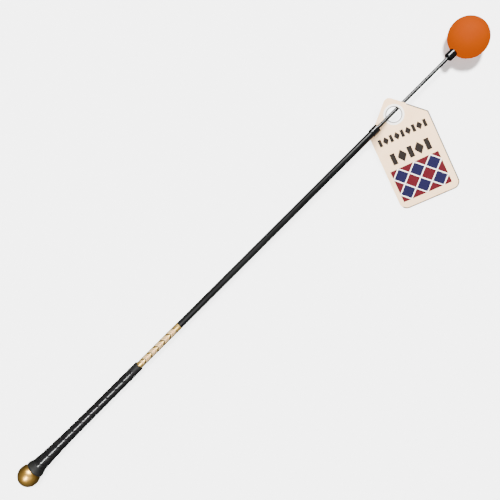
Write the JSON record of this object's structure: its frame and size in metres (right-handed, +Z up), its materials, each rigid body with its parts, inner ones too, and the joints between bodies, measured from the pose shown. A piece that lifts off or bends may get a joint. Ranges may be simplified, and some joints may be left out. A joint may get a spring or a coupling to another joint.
{
  "type": "golf swing trainer stick",
  "caption": "Flexible golf swing trainer: wrapped grip with a brass ball counterweight, sleeved whip shaft, orange rubber head ball and a card tag hanging on the rod.",
  "frame": {"origin": "on the supporting surface, under the middle of the whole object box as it lies there; z = 0 is the surface that the two balls rest on", "axes": "+X along the stick from the counterweight to the head ball, +Z up, +Y to the left seen from the counterweight; the card tag lies on the -Y side"},
  "size_m": [1.1048, 0.1996, 0.0698],
  "materials": {
    "brass": "satin turned brass, lightly polished",
    "steel": "zinc plated steel",
    "alloy": "plain drawn or turned aluminium",
    "tape": "double-sided paper-backed cloth tape",
    "grip_rubber": "matt moulded rubber",
    "grip_wrap": "soft spiral-wound strip, fine grained and perforated, slightly glossy",
    "foil": null,
    "bush_nylon": "natural nylon",
    "sleeve_black": "satin black flexible tube",
    "rod_black": "pultruded glass fibre rod with a glossy black coat",
    "cap_black": "gloss black moulding",
    "ferrule_black": "gloss black moulding",
    "ball_orange": "smooth matt orange rubber",
    "tag_card": null,
    "tag_ring": "self-adhesive paper ring"
  },
  "bodies": {
    "handle": {"counterweight_ball": "brass", "counterweight_stud": "steel", "lock_washer": "steel", "butt_plug": "alloy", "handle_tube": "alloy", "handle_pin": "steel", "grip_tape": "tape", "grip_underlisting": "grip_rubber", "grip_wrap": "grip_wrap", "label_band": "foil", "rear_bush": "bush_nylon"},
    "head": {"sleeve": "sleeve_black", "core_rod": "rod_black", "front_bush": "bush_nylon", "sleeve_end_cap": "cap_black", "ball_ferrule": "ferrule_black", "ball_insert": "alloy", "rod_pin": "steel", "head_ball": "ball_orange"},
    "tag": {"tag_card": "tag_card", "tag_ring": "tag_ring"}
  },
  "joints": [
    {"name": "shaft_flex", "type": "hinge", "parent": "handle", "child": "head", "pos_m": [-0.0234, 0.06486, 0.02675], "axis": [0, 0, 1], "range_deg": [-30, 30], "stiffness_Nm_per_rad": 7.7, "deforming": ["sleeve", "core_rod"]},
    {"name": "tag_swing", "type": "hinge", "parent": "head", "child": "tag", "pos_m": [0.33746, 0.06486, 0.03221], "axis": [0.9999, 0, 0.0151], "continuous": true}
  ]
}
